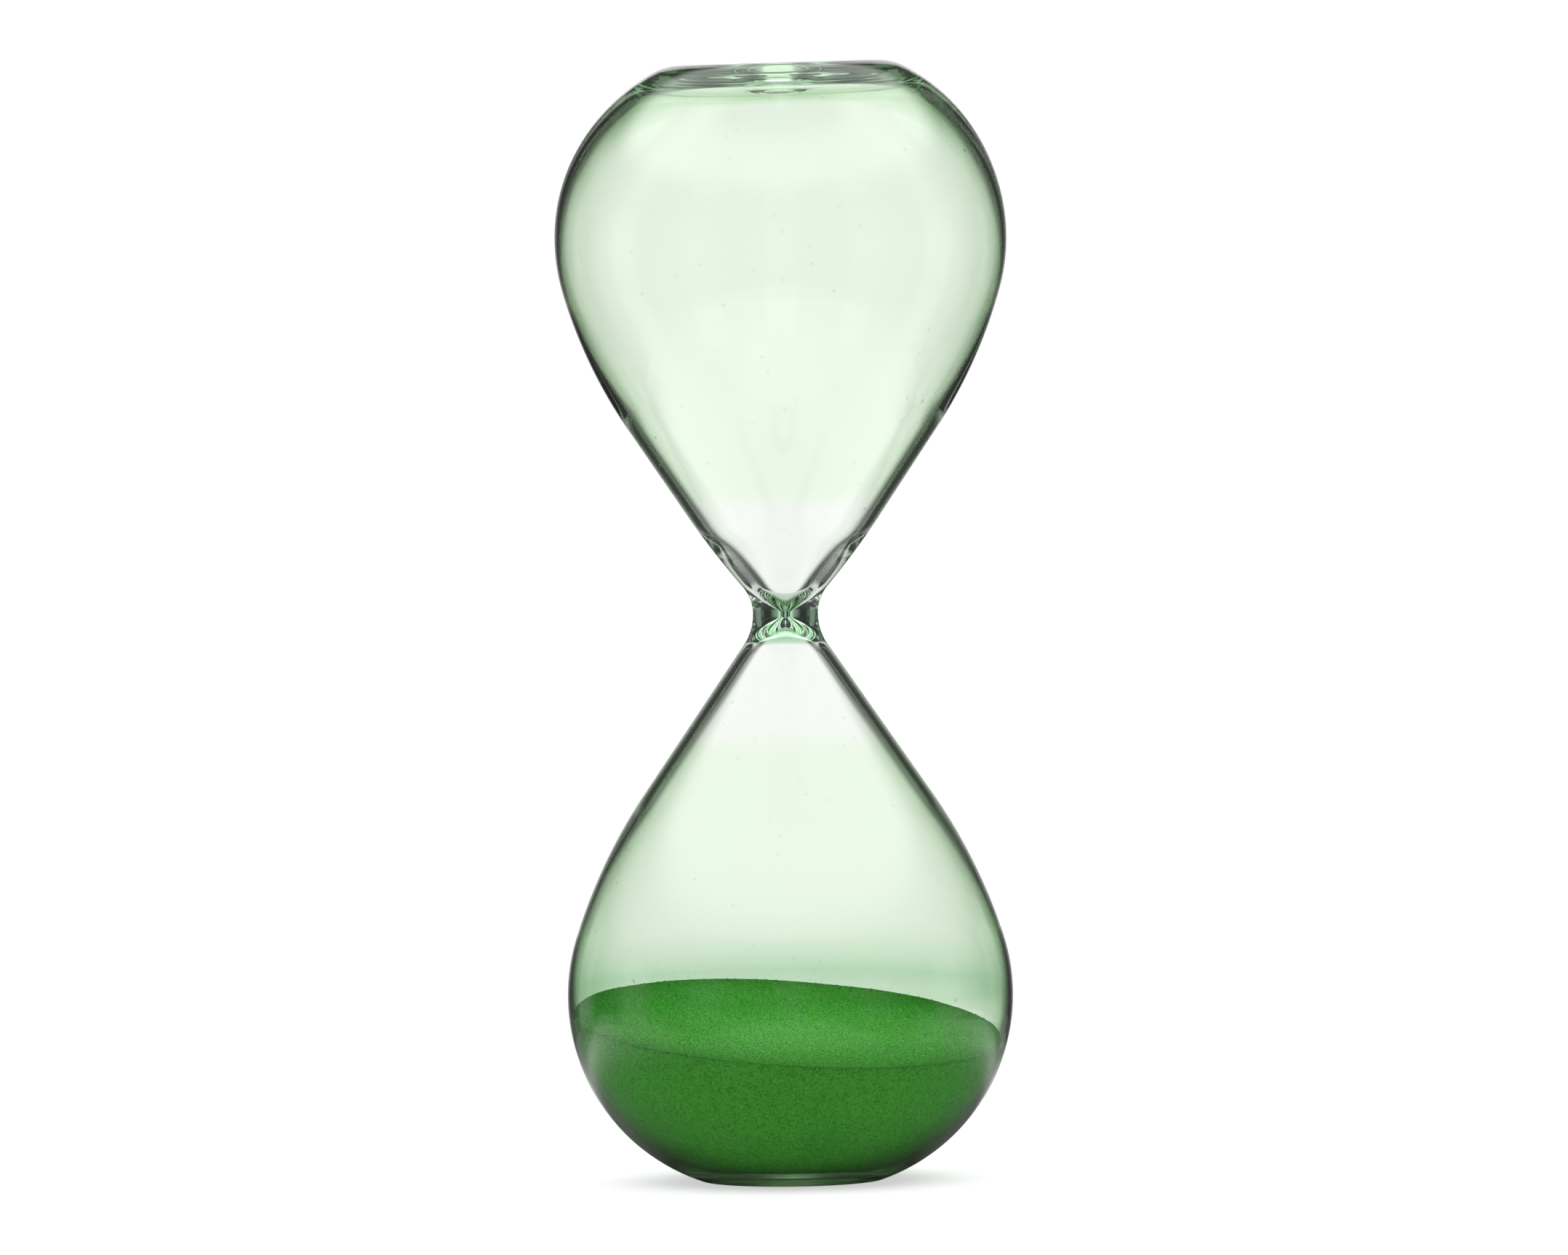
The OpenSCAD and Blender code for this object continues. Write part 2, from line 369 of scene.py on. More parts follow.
def glass_outlines(scene):
    """Outside and inside outline of the whole glass, both from the foot to the top end."""
    glass = scene.hourglass_glass
    lower, upper = halves(scene)
    seal = glass.seal_width / 2
    depth = glass.seal_dimple
    dimple = [(seal, HEIGHT), (seal * 0.75, HEIGHT - depth * 0.4), (seal * 0.4, HEIGHT - depth)]
    outside = (
        [(0.0, 0.0)]
        + lower.raised(reversed(lower.bulb_outside()))
        + lower.raised(reversed(lower.funnel_outside()))
        + upper.raised(upper.funnel_outside())
        + upper.raised(upper.bulb_outside())
        + dimple
        + [(0.0, HEIGHT - depth)]
    )
    ceiling = HEIGHT - upper.shape.end_thickness
    bead = [
        (seal * 1.4 * math.cos(t), ceiling - glass.seal_bead * math.sin(t))
        for t in [math.radians(a) for a in range(0, 90, 10)]
    ]
    inside = (
        [(0.0, lower.shape.end_thickness)]
        + lower.raised(reversed(lower.bulb_inside()))
        + lower.raised(reversed(lower.funnel_inside()))
        + upper.raised(upper.funnel_inside())
        + upper.raised(upper.bulb_inside())
        + bead
        + [(0.0, ceiling - glass.seal_bead)]
    )
    return tidy_line(outside, 1.5 * MM), tidy_line(inside, 1.5 * MM)


# Node helpers


class Tree:
    """Short hand for building a node tree."""

    def __init__(self, tree):
        self.tree = tree
        self.column = 0

    def add(self, kind, inputs=None, **values):
        """Adds a node. Inputs are keyed by socket name or index, and a value may be another node's output."""
        node = self.tree.nodes.new(kind)
        node.location = (self.column * 40, -(self.column % 6) * 160)
        self.column += 1
        for name, value in values.items():
            setattr(node, name, value)
        for key, value in (inputs or {}).items():
            socket = node.inputs[key]
            if isinstance(value, bpy.types.NodeSocket):
                self.tree.links.new(value, socket)
            else:
                socket.default_value = value
        return node

    def math(self, operation, *values, clamp=False):
        """A Math node's output."""
        node = self.add("ShaderNodeMath", dict(enumerate(values)), operation=operation, use_clamp=clamp)
        return node.outputs[0]

    def times(self, a, b):
        """The product of two values."""
        return self.math("MULTIPLY", a, b)

    def plus(self, a, b):
        """The sum of two values."""
        return self.math("ADD", a, b)

    def minus(self, a, b):
        """The difference of two values."""
        return self.math("SUBTRACT", a, b)

    def smooth(self, value, low, high, from_value=0.0, to_value=1.0):
        """A smooth step of value between low and high."""
        node = self.add(
            "ShaderNodeMapRange",
            {0: value, 1: low, 2: high, 3: from_value, 4: to_value},
            interpolation_type="SMOOTHSTEP",
        )
        return node.outputs[0]

    def mix(self, factor, a, b, blend="MIX"):
        """A colour mix."""
        node = self.add("ShaderNodeMix", data_type="RGBA", blend_type=blend)
        for socket, value in ((node.inputs[0], factor), (node.inputs[6], a), (node.inputs[7], b)):
            if isinstance(value, bpy.types.NodeSocket):
                self.tree.links.new(value, socket)
            else:
                socket.default_value = value
        return node.outputs[2]

    def link(self, output, target):
        """Joins two sockets."""
        self.tree.links.new(output, target)


def rgba(value):
    """A colour with full alpha."""
    return (*value, 1.0)


def group_tree(name, kind, inputs, outputs):
    """A node group with named sockets. Inputs are (name, type, default), outputs (name, type)."""
    group = bpy.data.node_groups.new(name, kind)
    for label, socket_type, default in inputs:
        socket = group.interface.new_socket(label, in_out="INPUT", socket_type="NodeSocket" + socket_type)
        if default is not None:
            socket.default_value = default
    for label, socket_type in outputs:
        group.interface.new_socket(label, in_out="OUTPUT", socket_type="NodeSocket" + socket_type)
    return group


def new_material(name):
    """An empty node material with its output."""
    material = bpy.data.materials.new(name)
    material.use_nodes = True
    material.node_tree.nodes.clear()
    tree = Tree(material.node_tree)
    output = tree.add("ShaderNodeOutputMaterial")
    return material, tree, output


# Shader groups


def dust_group():
    """Fine dust specks and faint smears, as masks and a height."""
    group = group_tree(
        "Dust And Smears",
        "ShaderNodeTree",
        [
            ("Vector", "Vector", None),
            ("Speck Scale", "Float", 900.0),
            ("Speck Share", "Float", 0.04),
            ("Smear Scale", "Float", 60.0),
        ],
        [("Specks", "Float"), ("Smears", "Float"), ("Height", "Float")],
    )
    tree = Tree(group)
    source = tree.add("NodeGroupInput").outputs
    cells = tree.add("ShaderNodeTexVoronoi", {"Vector": source["Vector"], "Scale": source["Speck Scale"]})
    pick = tree.add("ShaderNodeTexWhiteNoise", {"Vector": cells.outputs["Position"]}, noise_dimensions="3D")
    chosen = tree.math("LESS_THAN", pick.outputs["Value"], source["Speck Share"])
    near = tree.smooth(cells.outputs["Distance"], 0.32, 0.16)
    specks = tree.times(chosen, near)
    smear = tree.add(
        "ShaderNodeTexNoise",
        {"Vector": source["Vector"], "Scale": source["Smear Scale"], "Detail": 4.0, "Roughness": 0.6},
    )
    smears = tree.smooth(smear.outputs[0], 0.52, 0.78)
    height = tree.plus(specks, tree.times(smear.outputs[0], 0.2))
    tree.add("NodeGroupOutput", {"Specks": specks, "Smears": smears, "Height": height})
    return group


def tint_group():
    """Tint of the fused glass: green bulbs that fade into the clear neck at the two welds."""
    group = group_tree(
        "Fused Tint",
        "ShaderNodeTree",
        [
            ("Vector", "Vector", None),
            ("Bulb Tint", "Color", None),
            ("Neck Tint", "Color", None),
            ("Lower Weld", "Float", 0.0),
            ("Upper Weld", "Float", 0.0),
            ("Blend", "Float", 0.003),
        ],
        [("Color", "Color")],
    )
    tree = Tree(group)
    source = tree.add("NodeGroupInput").outputs
    z = tree.add("ShaderNodeSeparateXYZ", {0: source["Vector"]}).outputs[2]
    wander = tree.add("ShaderNodeTexNoise", {"Vector": source["Vector"], "Scale": 90.0, "Detail": 2.0})
    drift = tree.times(tree.minus(wander.outputs[0], 0.5), source["Blend"])
    height = tree.plus(z, drift)
    upper_edges = [tree.math(way, source["Upper Weld"], source["Blend"]) for way in ("SUBTRACT", "ADD")]
    lower_edges = [tree.math(way, source["Lower Weld"], source["Blend"]) for way in ("ADD", "SUBTRACT")]
    above = tree.smooth(height, *upper_edges)
    below = tree.smooth(height, *lower_edges)
    in_bulb = tree.math("ADD", above, below, clamp=True)
    streaks = tree.add("ShaderNodeTexNoise", {"Vector": source["Vector"], "Scale": 35.0, "Detail": 3.0})
    depth = tree.smooth(streaks.outputs[0], 0.3, 0.7, 0.85, 1.0)
    mixed = tree.mix(tree.times(in_bulb, depth), source["Neck Tint"], source["Bulb Tint"])
    tree.add("NodeGroupOutput", {"Color": mixed})
    return group


def sandline_group():
    """A band on the inner wall just above the sand that fades upwards, for a greener, darker tint, and the
    rough band where the sand presses on it.
    """
    group = group_tree(
        "Sand Line Band",
        "ShaderNodeTree",
        [
            ("Vector", "Vector", None),
            ("Inside", "Float", 0.0),
            ("Sandline Height", "Float", 0.03),
            ("Sandline Fade", "Float", 0.006),
            ("Sand Level", "Float", 0.024),
            ("Slope Across", "Float", 0.0),
            ("Slope Forward", "Float", 0.0),
        ],
        [("Sandline", "Float"), ("Contact", "Float")],
    )
    tree = Tree(group)
    source = tree.add("NodeGroupInput").outputs
    x, y, z = tree.add("ShaderNodeSeparateXYZ", {0: source["Vector"]}).outputs
    over = tree.math("MAXIMUM", 0.0, tree.minus(z, source["Sandline Height"]))
    fade = tree.math("EXPONENT", tree.times(-1.0, tree.math("DIVIDE", over, source["Sandline Fade"])))
    foot = tree.minus(source["Sandline Height"], source["Sandline Fade"])
    fade = tree.times(fade, tree.smooth(z, foot, source["Sandline Height"]))
    sandline = tree.times(fade, source["Inside"])
    across = tree.times(x, source["Slope Across"])
    forward = tree.times(y, source["Slope Forward"])
    surface = tree.plus(tree.minus(source["Sand Level"], across), forward)
    ragged = tree.add("ShaderNodeTexNoise", {"Vector": source["Vector"], "Scale": 2500.0, "Detail": 2.0})
    swing = tree.minus(ragged.outputs[0], 0.5)
    line = tree.plus(surface, tree.times(swing, 0.0008))
    pressed = tree.smooth(tree.minus(z, line), 0.0003, -0.0003)
    contact = tree.times(pressed, source["Inside"])
    tree.add("NodeGroupOutput", {"Sandline": sandline, "Contact": contact})
    return group


def grain_group():
    """Colour and height of packed sand grains."""
    group = group_tree(
        "Packed Grains",
        "ShaderNodeTree",
        [
            ("Vector", "Vector", None),
            ("Body", "Color", None),
            ("Dark", "Color", None),
            ("Pale Glint", "Color", None),
            ("Grain Scale", "Float", 3600.0),
            ("Shade", "Float", 0.0),
        ],
        [("Color", "Color"), ("Roughness", "Float"), ("Height", "Float")],
    )
    tree = Tree(group)
    source = tree.add("NodeGroupInput").outputs
    cells = tree.add("ShaderNodeTexVoronoi", {"Vector": source["Vector"], "Scale": source["Grain Scale"]})
    value = tree.add("ShaderNodeTexWhiteNoise", {"Vector": cells.outputs["Position"]}, noise_dimensions="3D")
    shade = tree.math("FRACT", tree.plus(value.outputs["Value"], source["Shade"]))
    dark = tree.smooth(shade, 0.45, 0.05, 0.0, 0.8)
    # A few random grains: partly their own paler tone, partly a painted glint, with a lower roughness
    pale_glint = tree.smooth(shade, 0.965, 0.995)
    patches = tree.add("ShaderNodeTexNoise", {"Vector": source["Vector"], "Scale": 110.0, "Detail": 3.0})
    body = tree.mix(tree.smooth(patches.outputs[0], 0.4, 0.8, 0.0, 0.25), source["Body"], source["Dark"])
    mixed = tree.mix(pale_glint, tree.mix(dark, body, source["Dark"]), source["Pale Glint"])
    rough = tree.smooth(shade, 0.9, 1.0, 0.85, 0.35)
    height = tree.minus(1.0, cells.outputs["Distance"])
    tree.add("NodeGroupOutput", {"Color": mixed, "Roughness": rough, "Height": height})
    return group


# Materials


# Heights between which the slab's painted shade fades, how far the middle of the core's tint and painted
# shade lies below the waist, and the distances from there between which it fades
SLAB_FADE = (3.4 * MM, 2.0 * MM)
CORE_DEPTH = 1.3 * MM
CORE_FADE = (3.2 * MM, 1.8 * MM)


def glass_material(scene, dust, tint, sandline_tree):
    """Tinted glass with dust specks, faint smears and a blown surface's soft ripple. Its colour also holds
    painted shade where walls are seen edge on (there partly the glass's own green), at the low wall and the
    foot, in the slab under the sand, round the bore (there partly the thick glass's own green) and at the top
    shoulder, and a greener, darker band on the inner wall just above the sand.
    """
    glass = scene.hourglass_glass
    material, tree, output = new_material("blown_glass")
    where = tree.add("ShaderNodeTexCoord").outputs["Object"]
    values = {
        "Vector": where,
        "Bulb Tint": rgba(glass.bulb_tint),
        "Neck Tint": rgba(glass.neck_tint),
        "Lower Weld": NECK_BOX[0].z,
        "Upper Weld": NECK_BOX[1].z,
        "Blend": 2 * MM,
    }
    colour_node = tree.add("ShaderNodeGroup", values, node_tree=tint)
    values = {"Vector": where, "Speck Scale": 700.0, "Speck Share": 0.012, "Smear Scale": 45.0}
    specks = tree.add("ShaderNodeGroup", values, node_tree=dust)
    inside = tree.add("ShaderNodeAttribute", attribute_name="inside").outputs["Fac"]
    values = {
        "Vector": where,
        "Inside": inside,
        "Sandline Height": glass.sandline_height,
        "Sandline Fade": glass.sandline_fade,
        "Sand Level": scene.hourglass_sand.level,
        "Slope Across": math.tan(scene.hourglass_sand.slope_across),
        "Slope Forward": math.tan(scene.hourglass_sand.slope_forward),
    }
    sandline = tree.add("ShaderNodeGroup", values, node_tree=sandline_tree)
    facing = tree.add("ShaderNodeLayerWeight", {"Blend": 0.5}).outputs["Facing"]
    # Where a wall is seen edge on: partly the glass's own green, partly painted shade
    rim = tree.smooth(facing, 0.35, 0.9)
    height = tree.add("ShaderNodeSeparateXYZ", {0: where}).outputs[2]
    low = tree.smooth(height, glass.foot_shade_height, glass.foot_shade_height / 3)
    high = tree.smooth(height, HEIGHT - glass.foot_shade_height, HEIGHT - glass.foot_shade_height / 3)
    edge_on = tree.smooth(facing, 0.4, 0.7)
    # Painted shade on the last sliver of a wall seen edge on
    outline = tree.smooth(facing, 0.78, 0.92)
    # Painted shade and painted reflection of the shadowed floor at the low wall and the foot seen edge on
    shaded = tree.times(low, edge_on)
    # Painted shade on the top shoulder seen edge on
    shoulder = tree.times(high, edge_on)
    # Painted shade in the foot's glass under the sand
    slab = tree.smooth(height, *SLAB_FADE)
    # Round the bore: partly the thick glass's own green, partly painted shade
    from_core = tree.math("ABSOLUTE", tree.minus(height, glass.waist_height - CORE_DEPTH))
    core = tree.smooth(from_core, *CORE_FADE)
    dusted = tree.times(specks.outputs["Specks"], 0.25)
    tint_and_shade = tree.mix(dusted, colour_node.outputs["Color"], (0.62, 0.68, 0.58, 1.0))
    # Multiplies in the rim's tint and painted shade, the band above the sand, the painted shade of the foot,
    # the outline and the slab, the core's tint and painted shade, and the shoulder's painted shade
    for mask, tone in (
        (rim, glass.rim_tint_and_shade),
        (sandline.outputs["Sandline"], glass.sandline_tint),
        (shaded, glass.foot_shade_tint),
        (outline, glass.outline_shade_tint),
        (slab, glass.slab_shade_tint),
        (core, glass.core_tint_and_shade),
        (shoulder, glass.shoulder_shade_tint),
    ):
        tint_and_shade = tree.mix(mask, tint_and_shade, rgba(tone), "MULTIPLY")
    rough = tree.math(
        "ADD",
        tree.times(specks.outputs["Specks"], 0.2),
        tree.times(specks.outputs["Smears"], 0.012),
    )
    pressed = tree.times(sandline.outputs["Contact"], glass.contact_roughness)
    rough = tree.math("MAXIMUM", rough, pressed)
    ripple = {"Strength": 0.03, "Distance": 0.2 * MM, "Height": specks.outputs["Height"]}
    bump = tree.add("ShaderNodeBump", ripple)
    shader = tree.add(
        "ShaderNodeBsdfPrincipled",
        {
            "Base Color": tint_and_shade,
            "Roughness": rough,
            "IOR": glass.refraction,
            "Specular Tint": (0.4, 0.4, 0.4, 1.0),
            "Transmission Weight": 1.0,
            "Normal": bump.outputs[0],
        },
    )
    depth_values = {"Color": rgba(glass.depth_tint), "Density": glass.depth_density}
    depth = tree.add("ShaderNodeVolumeAbsorption", depth_values)
    tree.link(shader.outputs[0], output.inputs["Surface"])
    tree.link(depth.outputs[0], output.inputs["Volume"])
    return material


def sand_material(scene, grains, name, loose):
    """Dyed sand: packed grains by position, or loose grains by their own shade."""
    sand = scene.hourglass_sand
    material, tree, output = new_material(name)
    where = tree.add("ShaderNodeTexCoord").outputs["Object"]
    values = {
        "Vector": where,
        "Body": rgba(sand.body_colour),
        "Dark": rgba(sand.dark_colour),
        "Pale Glint": rgba(sand.pale_glint_colour),
        "Grain Scale": 0.42 / sand.grain_size,
        "Shade": 0.0,
    }
    if loose:
        values["Grain Scale"] = 0.05 / sand.grain_size
        values["Shade"] = tree.add("ShaderNodeAttribute", attribute_name="grain_shade").outputs["Fac"]
    node = tree.add("ShaderNodeGroup", values, node_tree=grains)
    rounding = {"Strength": 0.6, "Distance": sand.grain_size, "Height": node.outputs["Height"]}
    bump = tree.add("ShaderNodeBump", rounding)
    shader = tree.add(
        "ShaderNodeBsdfPrincipled",
        {
            "Base Color": node.outputs["Color"],
            "Roughness": node.outputs["Roughness"],
            "Specular IOR Level": 0.15,
            "Normal": bump.outputs[0],
        },
    )
    tree.link(shader.outputs[0], output.inputs["Surface"])
    return material


def floor_material():
    """Pale matt floor with faint mottling. The glass mirrors only a cross of it, away from the foot;
    elsewhere it is painted dark for the glass, a painted shade. It glows: for the lens a painted light that
    keeps it white and lifts the shadow under the foot, and faintly for other rays.
    """
    material, tree, output = new_material("pale_floor")
    where = tree.add("ShaderNodeTexCoord").outputs["Object"]
    mottle = tree.add("ShaderNodeTexNoise", {"Vector": where, "Scale": 12.0, "Detail": 3.0})
    tone = tree.mix(mottle.outputs[0], (0.68, 0.68, 0.68, 1.0), (0.70, 0.70, 0.70, 1.0))
    path = tree.add("ShaderNodeLightPath").outputs
    seen = path["Is Camera Ray"]
    x, y, _ = tree.add("ShaderNodeSeparateXYZ", {0: where}).outputs
    off_cross = tree.math("MINIMUM", tree.math("ABSOLUTE", x), tree.math("ABSOLUTE", y))
    cross = tree.smooth(off_cross, 0.075, 0.04, 0.2, 1.0)
    radius = tree.add("ShaderNodeVectorMath", {0: where}, operation="LENGTH").outputs["Value"]
    away = tree.smooth(radius, 0.05, 0.1, 0.2, 1.0)
    scattered = tree.math("MINIMUM", path["Diffuse Depth"], 1.0)
    full = tree.math("MAXIMUM", seen, tree.times(scattered, 0.9))
    lit = tree.math("MAXIMUM", full, tree.times(cross, away))
    # Painted shade: dark to the glass near the foot and off the cross
    tone = tree.mix(lit, (0.0, 0.0, 0.0, 1.0), tone)
    glow = tree.math("MULTIPLY_ADD", scattered, 0.3, tree.smooth(seen, 0.0, 1.0, 0.1, 0.85))
    shader = tree.add(
        "ShaderNodeBsdfPrincipled",
        {
            "Base Color": tone,
            "Roughness": 0.9,
            "Specular IOR Level": 0.0,
            "Emission Color": tone,
            "Emission Strength": glow,
        },
    )
    tree.link(shader.outputs[0], output.inputs["Surface"])
    return material


# Geometry Nodes trees


def revolve_tree():
    """Turns a line of points in the XZ plane into a closed, slightly wavy surface round the Z axis."""
    group = group_tree(
        "Revolve Line",
        "GeometryNodeTree",
        [
            ("Line", "Geometry", None),
            ("Segments", "Int", 128),
            ("Waviness", "Float", 0.0),
            ("Wave Scale", "Float", 40.0),
            ("Wave Seed", "Float", 3.0),
            ("Top Height", "Float", 1.0),
            ("Top Slope", "Float", 0.0),
            ("Material", "Material", None),
        ],
        [("Surface", "Geometry")],
    )
    group.is_modifier = True
    tree = Tree(group)
    source = tree.add("NodeGroupInput").outputs
    size = tree.add("GeometryNodeAttributeDomainSize", {0: source["Line"]}, component="MESH")
    count = size.outputs["Point Count"]
    columns = tree.plus(source["Segments"], 1.0)
    grid = tree.add("GeometryNodeMeshGrid", {"Vertices X": count, "Vertices Y": columns})
    index = tree.add("GeometryNodeInputIndex").outputs[0]
    ring = tree.math("FLOOR", tree.math("DIVIDE", tree.plus(index, 0.5), columns))
    column = tree.minus(index, tree.times(ring, columns))
    turn = tree.times(tree.math("DIVIDE", column, source["Segments"]), math.tau)
    place = tree.add("GeometryNodeInputPosition").outputs[0]
    sample = tree.add("GeometryNodeSampleIndex", data_type="FLOAT_VECTOR", domain="POINT")
    tree.link(source["Line"], sample.inputs["Geometry"])
    tree.link(place, sample.inputs["Value"])
    tree.link(ring, sample.inputs["Index"])
    line = tree.add("ShaderNodeSeparateXYZ", {0: sample.outputs[0]}).outputs
    x = tree.times(line[0], tree.math("COSINE", turn))
    y = tree.times(line[0], tree.math("SINE", turn))
    turned = tree.add("ShaderNodeCombineXYZ", {0: x, 1: y, 2: line[2]}).outputs[0]
    wave = tree.add(
        "ShaderNodeTexNoise",
        {"Vector": turned, "W": source["Wave Seed"], "Scale": source["Wave Scale"], "Detail": 1.0},
        noise_dimensions="4D",
    ).outputs[0]
    swing = tree.times(tree.minus(wave, 0.5), source["Waviness"])
    near_wall = tree.smooth(line[0], 0.008, 0.02)
    reach = tree.plus(1.0, tree.math("DIVIDE", tree.times(swing, near_wall), 0.03))
    near_top = tree.smooth(line[2], tree.times(source["Top Height"], 0.86), source["Top Height"])
    lift = tree.times(tree.times(x, source["Top Slope"]), near_top)
    final = tree.add(
        "ShaderNodeCombineXYZ",
        {
            0: tree.times(x, reach),
            1: tree.times(y, reach),
            2: tree.plus(line[2], lift),
        },
    ).outputs[0]
    moved = tree.add("GeometryNodeSetPosition", {"Geometry": grid.outputs["Mesh"], "Position": final})
    merged = tree.add("GeometryNodeMergeByDistance", {"Geometry": moved.outputs[0], "Distance": 1e-6})
    smooth = tree.add("GeometryNodeSetShadeSmooth", {"Geometry": merged.outputs[0]})
    real = tree.add("GeometryNodeRealizeInstances", {"Geometry": smooth.outputs[0]})
    done = tree.add("GeometryNodeSetMaterial", {"Geometry": real.outputs[0], "Material": source["Material"]})
    tree.add("NodeGroupOutput", {"Surface": done.outputs[0]})
    return group


def scatter_tree():
    """Scatters rough grains over a surface."""
    group = group_tree(
        "Scatter Grains",
        "GeometryNodeTree",
        [
            ("Surface", "Geometry", None),
            ("Density", "Float", 1000.0),
            ("Grain Radius", "Float", 0.0001),
            ("Lift", "Float", 0.0),
            ("Seed", "Int", 1),
            ("Material", "Material", None),
        ],
        [("Grains", "Geometry")],
    )
    group.is_modifier = True
    tree = Tree(group)
    source = tree.add("NodeGroupInput").outputs
    wanted = {"Mesh": source["Surface"], "Seed": source["Seed"]}
    points = tree.add("GeometryNodeDistributePointsOnFaces", wanted)
    fade = tree.add("GeometryNodeInputNamedAttribute", {"Name": "fade"}, data_type="FLOAT").outputs[0]
    tree.link(tree.times(source["Density"], fade), points.inputs["Density"])
    push = tree.add("ShaderNodeVectorMath", {0: points.outputs["Normal"]}, operation="SCALE")
    tree.link(source["Lift"], push.inputs["Scale"])
    move = {"Geometry": points.outputs["Points"], "Offset": push.outputs[0]}
    lifted = tree.add("GeometryNodeSetPosition", move)
    grain = tree.add("GeometryNodeMeshIcoSphere", {"Radius": source["Grain Radius"], "Subdivisions": 1})
    turn = tree.add("FunctionNodeRandomValue", {"Seed": 11}, data_type="FLOAT_VECTOR")
    turn.inputs[1].default_value = (math.tau, math.tau, math.tau)
    size = tree.add("FunctionNodeRandomValue", {"Seed": 12}, data_type="FLOAT_VECTOR")
    size.inputs[0].default_value = (0.6, 0.6, 0.6)
    size.inputs[1].default_value = (1.35, 1.35, 1.35)
    copies = tree.add(
        "GeometryNodeInstanceOnPoints",
        {
            "Points": lifted.outputs[0],
            "Instance": grain.outputs["Mesh"],
            "Rotation": turn.outputs[0],
            "Scale": size.outputs[0],
        },
    )
    shade = tree.add("FunctionNodeRandomValue", {"Seed": 13}, data_type="FLOAT")
    stored = tree.add(
        "GeometryNodeStoreNamedAttribute",
        {"Geometry": copies.outputs[0], "Name": "grain_shade"},
        data_type="FLOAT",
        domain="INSTANCE",
    )
    tree.link(shade.outputs[1], stored.inputs["Value"])
    real = tree.add("GeometryNodeRealizeInstances", {"Geometry": stored.outputs[0]})
    done = tree.add("GeometryNodeSetMaterial", {"Geometry": real.outputs[0], "Material": source["Material"]})
    tree.add("NodeGroupOutput", {"Grains": done.outputs[0]})
    return group


def made_by_nodes(mesh, group, inputs):
    """The plain mesh that a Geometry Nodes tree makes of mesh."""
    carrier = bpy.data.objects.new("carrier", mesh)
    bpy.context.scene.collection.objects.link(carrier)
    modifier = carrier.modifiers.new("nodes", "NODES")
    modifier.node_group = group
    sockets = {s.name: s.identifier for s in group.interface.items_tree if s.in_out == "INPUT"}
    for name, value in inputs.items():
        modifier[sockets[name]] = value
    bpy.context.view_layer.update()
    depsgraph = bpy.context.evaluated_depsgraph_get()
    result = bpy.data.meshes.new_from_object(carrier.evaluated_get(depsgraph), depsgraph=depsgraph)
    carrier.modifiers.clear()
    bpy.data.objects.remove(carrier)
    return result


def line_mesh(points):
    """A mesh that holds an outline's points in the XZ plane."""
    mesh = bpy.data.meshes.new("outline")
    mesh.from_pydata([(r, 0.0, h) for r, h in points], [], [])
    return mesh


def add_piece(name, mesh):
    """A new object of the hourglass, at the origin."""
    piece = bpy.data.objects.new(name, mesh)
    bpy.context.scene.collection.objects.link(piece)
    return piece


# Operators


class HOURGLASS_OT_glass(bpy.types.Operator):
    """Builds the fused glass body with its two chambers and the bore between them."""

    bl_idname = "hourglass.glass"
    bl_label = "Glass body"

    def execute(self, context):
        scene = context.scene
        glass = scene.hourglass_glass
        outside, inside = glass_outlines(scene)
        material = glass_material(scene, dust_group(), tint_group(), sandline_group())
        revolve = revolve_tree()
        shared = {
            "Segments": glass.segments,
            "Wave Scale": 38.0,
            "Top Height": HEIGHT,
            "Top Slope": math.tan(glass.end_tilt),
            "Material": material,
        }
        outer_waves = {"Waviness": glass.waviness, "Wave Seed": 3.0}
        inner_waves = {"Waviness": glass.waviness * 1.5, "Wave Seed": 8.0}
        outer = made_by_nodes(line_mesh(list(reversed(outside))), revolve, {**shared, **outer_waves})
        inner = made_by_nodes(line_mesh(inside), revolve, {**shared, **inner_waves})
        body = joined_mesh("glass_body", outer, inner)
        body.materials.clear()
        body.materials.append(material)
        piece = add_piece("glass_body", body)
        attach(piece, "root")
        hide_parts("lower_bulb", "upper_bulb", "neck", "fill_seal")
        return {"FINISHED"}


def joined_mesh(name, outer, inner):
    """One mesh of an outer and an inner surface, with an attribute that marks the inner one."""
    points = []
    faces = []
    marks = []
    for mesh, mark in ((outer, 0.0), (inner, 1.0)):
        start = len(points)
        points += [v.co.copy() for v in mesh.vertices]
        faces += [[start + i for i in f.vertices] for f in mesh.polygons]
        marks += [mark] * len(mesh.vertices)
    result = bpy.data.meshes.new(name)
    result.from_pydata(points, [], faces)
    result.polygons.foreach_set("use_smooth", [True] * len(faces))
    result.attributes.new("inside", "FLOAT", "POINT").data.foreach_set("value", marks)
    result.update()
    return result


# Spacing of the points along the charge's side, and the share of the slump that reaches its rim
SIDE_STEP = 0.4 * MM
RIM_SLUMP = 0.35
# Height and area of the strip of wall above the rim that has clinging grains
BAND_HEIGHT = 9 * MM
BAND_AREA = 0.0012


